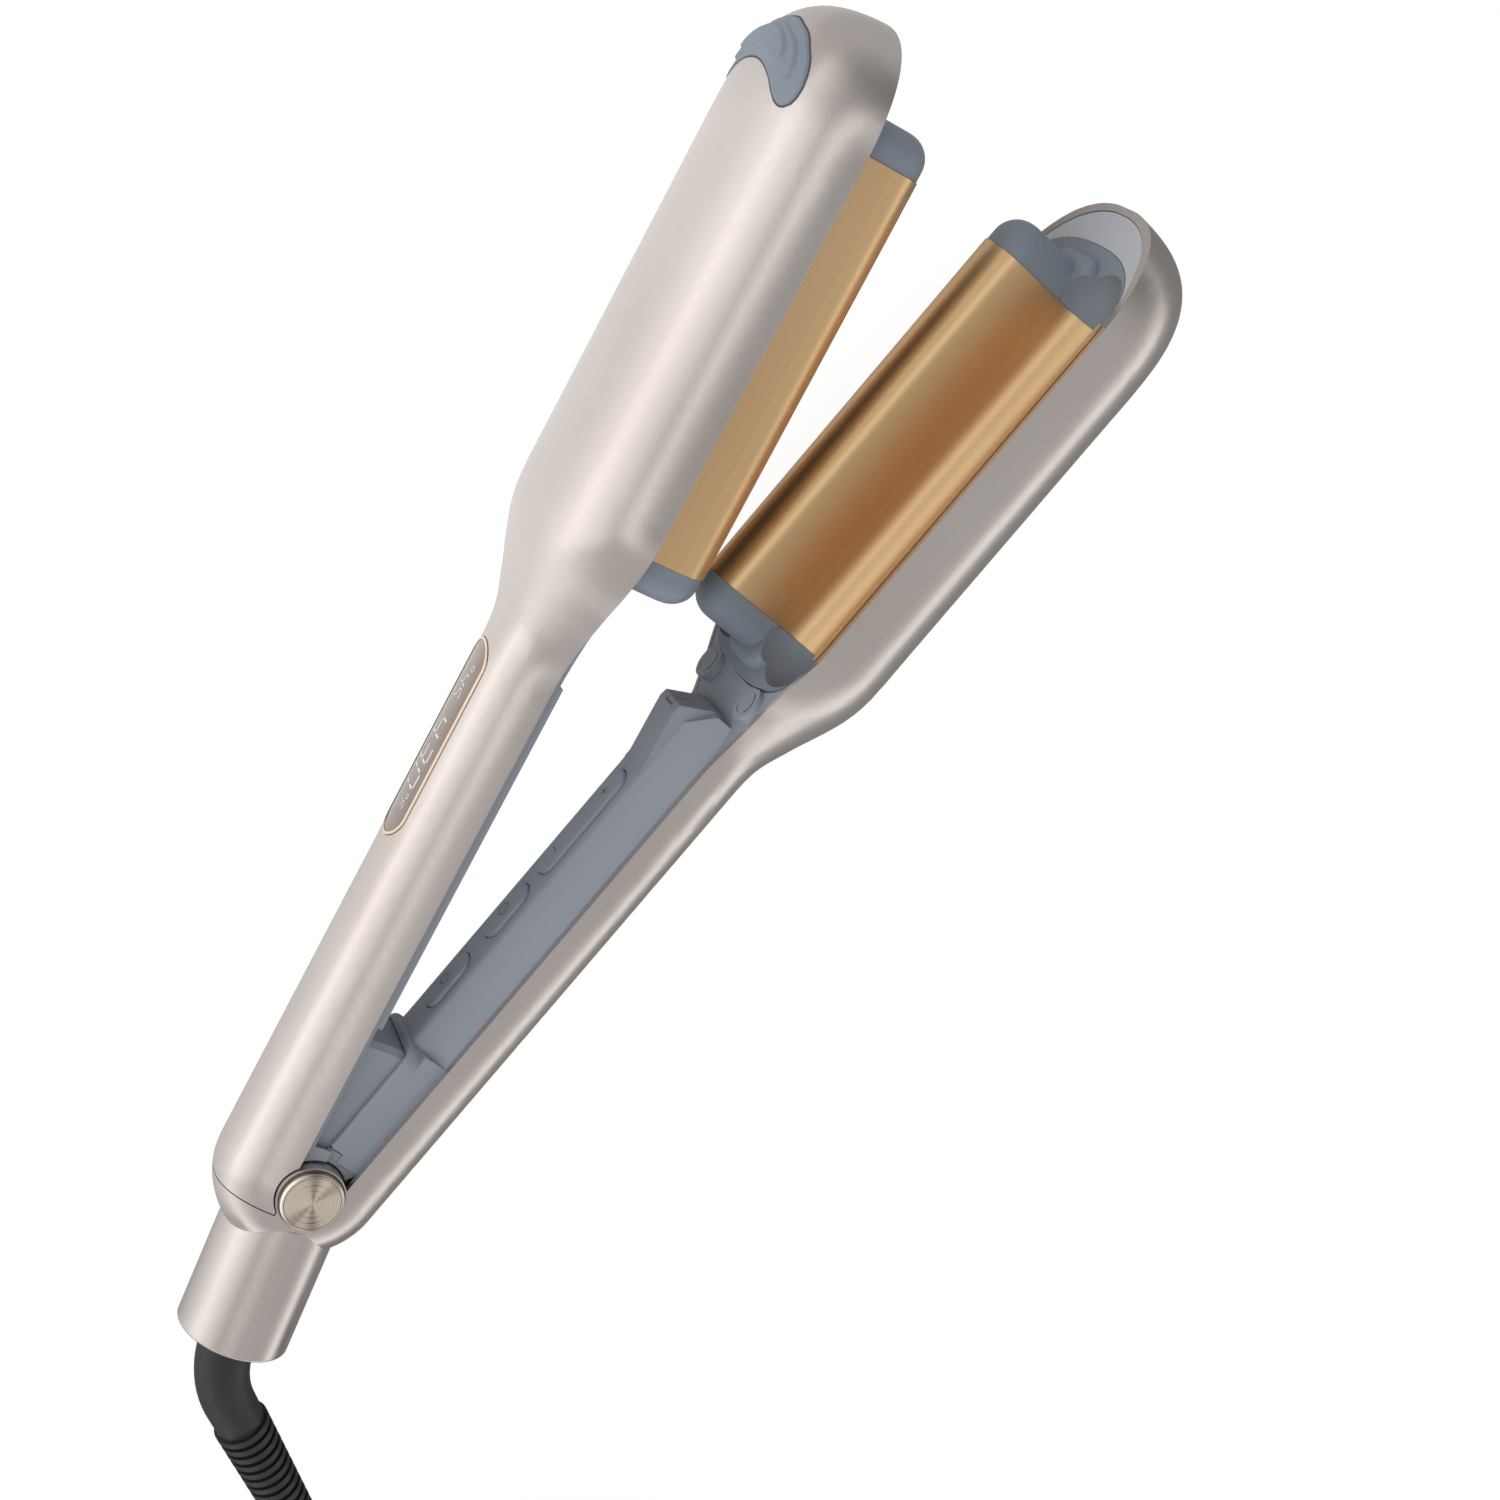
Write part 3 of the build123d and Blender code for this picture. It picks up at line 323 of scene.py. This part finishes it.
def arc(cu, cv, r, a0, a1):
    """Points of an arc in degrees, about one for every 8 degrees."""
    n = max(3, int(abs(a1 - a0) / 8.0) + 1)
    turns = [math.radians(a0 + (a1 - a0) * i / n) for i in range(n + 1)]
    return [(cu + r * math.cos(a), cv + r * math.sin(a)) for a in turns]


def along(path, step):
    """The path with a point at least every step."""
    out = [path[0]]
    for a, b in zip(path, path[1:]):
        n = max(1, int(math.dist(a, b) / step))
        out += [between(a, b, i / n) for i in range(1, n + 1)]
    return out


class Ink:
    """Lines laid on the skin of nodes, looked at along one direction."""

    START_HEIGHT = 60.0

    def __init__(self, names, place):
        self.skins = []
        for name in names:
            node = NODES[name]
            verts = [node.matrix_world @ v.co for v in node.data.vertices]
            faces = [tuple(f.vertices) for f in node.data.polygons]
            self.skins.append(BVHTree.FromPolygons(verts, faces))
        self.place = place
        self.cast = (place(0.0, 0.0, 0.0) - place(0.0, 0.0, 1.0)).normalized()
        self.bm = bmesh.new()

    def drop(self, u, v, lift):
        """The skin's point under (u, v), lifted by millimetres, or None beside the skin."""
        start = self.place(u, v, self.START_HEIGHT)
        hits = [skin.ray_cast(start, self.cast) for skin in self.skins]
        hits = [hit for hit in hits if hit[0] is not None]
        if not hits:
            return None
        best = min(hits, key=lambda hit: hit[3])
        return best[0] - self.cast * (lift * MM)

    def line(self, path, width, lift=0.05, step=0.5):
        """A flat line along the path; it breaks off where there is no skin."""
        pts = along(path, step)
        before = None
        for i, (u, v) in enumerate(pts):
            a, b = pts[max(i - 1, 0)], pts[min(i + 1, len(pts) - 1)]
            du, dv = b[0] - a[0], b[1] - a[1]
            n = max(TINY, math.hypot(du, dv))
            nu, nv = -dv / n * width / 2, du / n * width / 2
            ends = (self.drop(u + nu, v + nv, lift), self.drop(u - nu, v - nv, lift))
            if None in ends:
                before = None
                continue
            now = [self.bm.verts.new(end) for end in ends]
            if before:
                self.bm.faces.new((before[0], before[1], now[1], now[0]))
            before = now

    def done(self, name, material, body):
        return mesh_piece(name, self.bm, material, body)


# ------------------------------------------------------------------ thumb rests
# Near halves of three nested horns: the outer edge from the middle to the tip, and the inner edge
# back, in millimetres along the arm and across it.
HORNS = (
    (((286.7, 0.0), (286.1, 4.2), (284.3, 10.8), (281.6, 15.0), (278.7, 18.1), (274.7, 20.2),
      (271.0, 20.7), (268.8, 20.0)),
     ((268.0, 18.8), (268.3, 17.0), (269.6, 14.9), (272.4, 10.8), (274.2, 6.0), (275.0, 0.0))),
    (((284.6, 0.0), (283.5, 5.7), (282.0, 10.7), (279.8, 14.2), (276.9, 16.4), (274.2, 17.3),
      (273.0, 17.2)),
     ((272.6, 16.4), (273.1, 14.6), (274.2, 11.8), (275.4, 6.4), (276.1, 0.0))),
    (((283.4, 0.0), (282.4, 5.4), (280.6, 9.6), (278.9, 11.9), (277.2, 12.8), (276.0, 12.4)),
     ((275.5, 11.4), (275.6, 9.6), (276.6, 5.0), (277.4, 0.0))),
)
# For each horn: the width of its slope, the height of the slope's foot, and its rise.
TERRACES = ((0.45, -0.3, 0.75), (0.6, 0.0, 0.7), (0.5, 0.0, 0.7))
HORN_CELLS = 180
HORN_ROWS = 60
HORN_THICK = 0.8
HORN_MERGE = 0.00002


def smooth_curve(points, n):
    """n points, evenly spaced, on a smooth curve through the given ones."""
    ends = [points[0]] + list(points) + [points[-1]]
    fine = []
    for quad in zip(ends, ends[1:], ends[2:], ends[3:]):
        for i in range(12):
            t = i / 12.0
            fine.append(tuple(0.5 * (2 * b + (c - a) * t + (2 * a - 5 * b + 4 * c - d) * t * t
                                     + (3 * b - a - 3 * c + d) * t ** 3)
                              for a, b, c, d in zip(*quad)))
    fine.append(points[-1])
    run = [0.0]
    for a, b in zip(fine, fine[1:]):
        run.append(run[-1] + math.dist(a, b))
    out, k = [], 0
    for i in range(n):
        want = run[-1] * i / (n - 1)
        while k < len(run) - 2 and run[k + 1] < want:
            k += 1
        share = (want - run[k]) / max(TINY, run[k + 1] - run[k])
        out.append(between(fine[k], fine[k + 1], share))
    return out


def horn_edges(horn, n):
    """Outer and inner edge of a whole horn, both from its far tip to its near tip."""
    outer, inner = horn
    tip = between(outer[-1], inner[0], 0.5)
    edges = []
    for half in (list(outer) + [tip], list(reversed(inner)) + [tip]):
        whole = [(x, -z) for x, z in reversed(half[1:])] + half
        edges.append(smooth_curve(whole, n))
    return edges


def depth_inside(point, loop):
    """How far the point lies inside the closed loop; 0 outside it."""
    x, y = point
    inside, near = False, math.inf
    for (ax, ay), (bx, by) in zip(loop, loop[1:] + loop[:1]):
        if (ay > y) != (by > y) and x < (bx - ax) * (y - ay) / (by - ay) + ax:
            inside = not inside
        dx, dy = bx - ax, by - ay
        share = ((x - ax) * dx + (y - ay) * dy) / max(TINY, dx * dx + dy * dy)
        share = max(0.0, min(1.0, share))
        near = min(near, math.hypot(ax + dx * share - x, ay + dy * share - y))
    return near if inside else 0.0


def make_thumb_rest(name, node, casing, place, body, narrow):
    """A terraced crescent that lies on the casing's skin and reaches a little into it."""
    outer, inner = horn_edges(HORNS[0], HORN_CELLS + 1)
    loops = [a + b[::-1] for a, b in (horn_edges(horn, 41) for horn in HORNS)]
    skin = Ink([casing], place)
    bm = skin.bm
    bmesh.ops.create_grid(bm, x_segments=HORN_CELLS, y_segments=HORN_ROWS, size=1.0)
    for vert in bm.verts:
        column = round((vert.co.x + 1) * HORN_CELLS / 2)
        spot = between(inner[column], outer[column], (vert.co.y + 1) / 2)
        lift = 0.0
        for loop, (slope, foot, rise) in zip(loops, TERRACES):
            part = min(1.0, depth_inside(spot, loop) / slope)
            lift += foot + rise * part * part * (3 - 2 * part)
        vert.co = skin.drop(spot[0], spot[1] * narrow, lift * narrow)
    thicken(bm, bm.faces[:], skin.cast * (HORN_THICK * MM))
    obj = mesh_piece(name, bm, M["thumb"], body, doubles=HORN_MERGE)
    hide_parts(node)
    # A line of painted shade along the crescent's outline, where its step meets the casing.
    seam = Ink([casing], place)
    seam.line([(x, z * narrow) for x, z in loops[0] + loops[0][:1]], 0.42, step=0.4)
    seam.done(name + "_seam", M["seam"], body)


# ------------------------------------------------------------------ display
SEGMENTS = {"0": "abcdef", "3": "abcdg", "4": "bcfg", "5": "acdfg", "F": "aefg"}
SLANT = 0.10


def digit(ink, char, cx, cz, w, h, stroke):
    """One sign of seven bars; it reads towards the hinge with its top to the near side."""
    g = stroke * 0.7
    x, y = w / 2, h / 2
    bars = {"a": ((-x + g, y), (x - g, y)), "d": ((-x + g, -y), (x - g, -y)),
            "g": ((-x + g, 0), (x - g, 0)), "f": ((-x, g), (-x, y - g)),
            "b": ((x, g), (x, y - g)), "e": ((-x, -y + g), (-x, -g)), "c": ((x, -y + g), (x, -g))}
    for bar in SEGMENTS[char]:
        ink.line([(cx - px - py * SLANT, cz + py) for px, py in bars[bar]], stroke)


def make_digits():
    ink = Ink(["display_window"], up_back)
    for char, x in (("4", 112.6), ("3", 106.0), ("0", 99.4)):
        digit(ink, char, x, -0.1, 4.2, 6.4, 0.62)
    digit(ink, "F", 92.6, 1.4, 1.9, 2.8, 0.34)
    ink.line(arc(94.9, 2.5, 0.5, 0, 360), 0.26)
    digit(ink, "5", 121.4, 0.2, 2.3, 4.0, 0.42)
    digit(ink, "4", 124.9, 0.2, 2.3, 4.0, 0.42)
    ink.line(arc(127.9, 2.0, 0.7, 0, 360), 0.26)
    ink.line([(127.9, 2.0), (127.9, 2.4)], 0.2)
    ink.done("display_digits", M["digits"], "upper_arm")


# ------------------------------------------------------------------ signs, seams and webs
def make_signs():
    """Power, clock, plus and minus, each on its key."""
    ink = Ink(["power_key"], low_face)
    ink.line(arc(57.4, 0.0, 1.5, 40, 320), 0.3)
    ink.line([(57.7, 0.0), (59.4, 0.0)], 0.3)
    ink.done("power_sign", M["icon"], "power_key")
    ink = Ink(["timer_key"], low_face)
    ink.line(arc(79.0, 0.0, 1.6, 0, 360), 0.3)
    ink.line([(80.1, 0.0), (79.0, 0.0), (79.0, 0.8)], 0.3)
    ink.done("timer_sign", M["icon"], "timer_key")
    ink = Ink(["temperature_rocker"], low_face)
    ink.line([(115.3, -1.2), (115.3, 1.2)], 0.34)
    ink.line([(114.1, 0.0), (116.5, 0.0)], 0.34)
    ink.line([(97.5, -1.2), (97.5, 1.2)], 0.34)
    ink.done("temperature_signs", M["icon"], "temperature_rocker")


def make_plug_slots():
    """Dark gap beside each of the plugs over the lower screws, drawn as a line of painted shade.
    """
    ink = Ink(["lower_liner", "screw_plugs", "lower_casing"], low_face)
    for side in (-1, 1):
        ink.line(arc(153.2, 14.6 * side, 2.95, 20, 130), 0.3)
        ink.line(arc(153.2, 14.6 * side, 2.95, 196, 240), 0.3)
    ink.done("plug_slots", M["seam"], "lower_arm")


def make_arrow():
    """Outline of a pointer on the crest of the wedge."""
    ink = Ink(["lower_liner"], low_face)
    ink.line([(141.2, -2.3), (141.2, 2.3)], 0.34)
    ink.line([(141.2, 2.3), (144.4, 0.0), (141.2, -2.3)], 0.22)
    ink.done("wedge_pointer", M["seam"], "lower_arm")


def make_web(name, outline, low_z, high_z, place, body):
    """Flat infill between the disc and the liners, with its mirror on the far side."""
    bm = bmesh.new()
    for side in (1, -1):
        foot = bm.faces.new([bm.verts.new(place(x, y, side * low_z)) for x, y in outline])
        thicken(bm, [foot], (0.0, 0.0, side * (high_z - low_z) * MM))
    mesh_piece(name, bm, M["liner"], body, smooth=False)


def make_webs():
    step = [(9.3, -6.8), (9.3, -0.9), (11.6, -0.9), (11.6, 3.2), (9.3, 3.2), (9.3, 5.4)]
    make_web("lower_hinge_web", arc(0.0, 0.0, 8.65, 39, -38) + step, 10.4, 11.4, low, "lower_arm")
    edge = [(11.6, 0.0), (11.6, 5.8)]
    make_web("upper_hinge_web", arc(0.0, 0.0, 8.8, 41, 0) + edge, 11.6, 12.4, upp, "upper_arm")


def make_disc_edge():
    """Painted shade: a dark line for the gap round the turned cap on the hinge, and a fine one
    just inside its rim.
    """
    ink = Ink(["hinge_cap_near", "lower_casing"], low)
    ink.line(arc(0.0, 0.0, 7.75, 0, 360), 0.42)
    ink.line(arc(0.0, 0.0, 6.7, 0, 360), 0.14, lift=0.02)
    ink.done("disc_edge", M["seam"], "lower_arm")


make_thumb_rest("upper_thumb_crescent", "upper_thumb_rest", "upper_casing", up_back, "upper_arm",
                1.0)
make_thumb_rest("lower_thumb_crescent", "lower_thumb_rest", "lower_casing", low_back, "lower_arm",
                0.7)
make_digits()
make_signs()
make_plug_slots()
make_arrow()
make_webs()
make_disc_edge()


# ------------------------------------------------------------------ lead
CORD_R = 0.0034
LAYER = 0.0068
LYING = -30.2 + 3.4
BEND = low(-55.2, -17.7, 0.0)
RELIEF_DIR = Vector((-0.475, -0.865, -0.16)).normalized()
RELIEF_TIP = BEND + RELIEF_DIR * 0.062
COIL = low(-97.3, -167.8, LYING)
RADII = (0.0462, 0.0394, 0.0326, 0.0258)
PER_TURN = 30
ANGLE_IN = 146.0
ANGLE_OUT = 255.0
LOWER_TURNS = 3.75
UPPER_FROM = 56.0 + 360 * 4
WHOLE_TURNS = 7


def on_turn(radius, degrees, height):
    """A point of the coil, above its lower layer."""
    a = math.radians(degrees)
    return COIL + Vector((radius * math.cos(a), radius * math.sin(a), height))


def off_coil(out, onwards, up):
    """Millimetres outwards, onwards and above the floor from where the lead leaves the coil."""
    a = math.radians(ANGLE_OUT)
    c, s = math.cos(a), math.sin(a)
    return COIL + Vector((out * c - onwards * s, out * s + onwards * c, up - CORD_R / MM)) * MM


def lead_points():
    """From the sleeve over the floor, inwards below, outwards on top, and up to the plug."""
    pts = [RELIEF_TIP, RELIEF_TIP + RELIEF_DIR * 0.026, low(-117.5, -116.0, LYING),
           low(-135.6, -142.0, LYING)]
    step = 360.0 / PER_TURN
    count = int(LOWER_TURNS * PER_TURN)
    for i in range(1, count):
        a = ANGLE_IN + i * step
        done = (a - ANGLE_IN) / 360.0
        turn = int(done)
        r = RADII[turn]
        over = (done - turn - 0.75) / 0.25
        if over > 0 and turn < 3:
            r += (RADII[turn + 1] - r) * over
        pts.append(on_turn(r, a, max(0.0, (done - 3.5) / 0.25) * LAYER))
    a = ANGLE_IN + count * step
    while a < ANGLE_OUT + 360.0 * WHOLE_TURNS - 1:
        done = (a - UPPER_FROM) / 360.0
        turn = min(3, int(done + 0.0001))
        r = RADII[3 - turn]
        over = min(1.0, (done - turn - 210.0 / 360.0) / (60.0 / 360.0))
        if over > 0 and turn < 3:
            r += (RADII[2 - turn] - r) * over
        pts.append(on_turn(r, a, LAYER))
        a += step
    for place in ((46.2, 0.0, 10.2), (46.0, 16.0, 12.0), (44.4, 36.0, 19.5), (12.0, 36.0, 22.2)):
        pts.append(off_coil(*place))
    return pts


def make_lead():
    pts = lead_points()
    data = bpy.data.curves.new("lead", "CURVE")
    data.dimensions = "3D"
    data.bevel_depth = CORD_R
    data.bevel_resolution = 5
    data.resolution_u = 4
    data.use_fill_caps = True
    spline = data.splines.new("NURBS")
    spline.points.add(len(pts) - 1)
    for point, p in zip(spline.points, pts):
        point.co = (p.x, p.y, p.z, 1.0)
    spline.order_u = 3
    spline.use_endpoint_u = True
    data.materials.append(M["black"])
    obj = link("lead", data)
    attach(obj, "cord_end")
    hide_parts("cord", "cord_coil", "cord_tail")
    length = sum((b - a).length for a, b in zip(pts, pts[1:]))


make_lead()


# ------------------------------------------------------------------ floor, light, camera
CAMERA_RAY, GLOSSY_RAY = 0, 3
FLOOR_HALF = 6.0
FLOOR_DOWN = -0.0002


def make_floor():
    """Shows white, keeps the shadow, and gives the object's sides what they reflect."""
    bm = bmesh.new()
    bmesh.ops.create_grid(bm, x_segments=1, y_segments=1, size=FLOOR_HALF,
                          matrix=Matrix.Translation((0, 0, FLOOR_DOWN)))
    data = bpy.data.meshes.new("floor")
    bm.to_mesh(data)
    bm.free()
    p = Paint("floor_white")
    y = p.node("SeparateXYZ", p.place(), out=1)
    x = y.output(0)
    p.set(Base_Color=p.mix(p.ramp(y, -0.06, -0.015, 0.0, 1.0), grey(0.38), grey(0.86)),
          Roughness=0.9)
    glow = p.node("Emission", grey(1.0), 1.4)
    front = p.ramp(y, -0.03, 0.03, 0.0, 0.6) + p.ramp(y, 0.06, 0.2, 0.0, 0.35)
    tip = p.ramp(x, 0.12, 0.19, 1.0, 0.0)
    seen = (p.node("LightPath", out=CAMERA_RAY) * 0.67
            + p.node("LightPath", out=GLOSSY_RAY) * front * tip)
    blend = p.node("MixShader", seen, Sock(p.tree, p.shader.outputs[0]), glow)
    put(p.tree.nodes["Material Output"].inputs[0], blend)
    data.materials.append(p.mat)
    link("floor", data)


# Elevation in degrees and brightness of the sky's bands, before the object and behind it.
SKY_FRONT = ((-8, 1.45), (8, 1.25), (18, 1.0), (28, 0.76), (38, 0.62), (49, 0.42), (56, 0.52),
             (63, 1.4), (69, 1.6), (75, 0.62), (82, 0.32))
SKY_BACK = ((-8, 1.3), (5, 1.8), (11, 1.5), (19, 0.6), (26, 0.48), (45, 0.55), (60, 0.6),
            (82, 0.35))
SKY_STRENGTH = 2.0
WHITE_BEHIND = 0.52


def sky_band(nodes, height, steps):
    """Brightness of the sky by its elevation, on one side of the object."""
    stops = [(0.5 + 0.5 * math.sin(math.radians(degrees)), level / SKY_STRENGTH)
             for degrees, level in steps]
    return nodes.node("ValToRGB", height, stops=(stops, "EASE"))


def make_world():
    """White behind the object; bands of light and dark round it for the reflections."""
    world = bpy.data.worlds.new("studio")
    bpy.context.scene.world = world
    world.use_nodes = True
    nodes = Nodes(world.node_tree)
    x = nodes.node("SeparateXYZ", nodes.node("TexCoord"))
    height = nodes.ramp(x.output(2), -1.0, 1.0, 0.0, 1.0)
    side = nodes.ramp(x.output(1), -0.25, 0.25, 0.0, 1.0)
    ahead = nodes.ramp(x, 0.35, 0.75, 1.0, 0.35)
    both = nodes.mix(side, sky_band(nodes, height, SKY_BACK), sky_band(nodes, height, SKY_FRONT))
    shade = nodes.node("VectorMath", settings={"operation": "SCALE"}, at={0: both, 3: ahead})
    seen = nodes.node("LightPath", out=CAMERA_RAY)
    back = world.node_tree.nodes["Background"]
    put(back.inputs["Color"], nodes.mix(seen, shade, grey(WHITE_BEHIND)))
    put(back.inputs["Strength"], SKY_STRENGTH)


def make_lamp(name, place, aim, size, power):
    data = bpy.data.lights.new(name, "AREA")
    data.energy = power
    data.size = size
    obj = link(name, data)
    obj.location = place
    obj.rotation_euler = (Vector(aim) - Vector(place)).to_track_quat("-Z", "Y").to_euler()


def make_camera():
    right = Vector((0.6474, -0.6998, 0.3019))
    down = Vector((-0.7572, -0.5454, 0.3593))
    ahead = Vector((-0.0868, -0.4612, -0.8830))
    data = bpy.data.cameras.new("camera")
    data.sensor_fit = "HORIZONTAL"
    data.angle = 2 * math.atan(750.0 / 2767.37)
    data.clip_start = 0.01
    obj = link("camera", data)
    turn = Matrix((right, -down, -ahead)).transposed().to_4x4()
    obj.matrix_world = Matrix.Translation(low(200.2, 281.2, 574.1)) @ turn
    bpy.context.scene.camera = obj


make_floor()
make_world()
make_camera()
make_lamp("key", (-0.55, 1.2, 0.6), (0.02, 0.02, 0.0), 1.5, 4.0)
bpy.context.scene.view_settings.view_transform = "Standard"
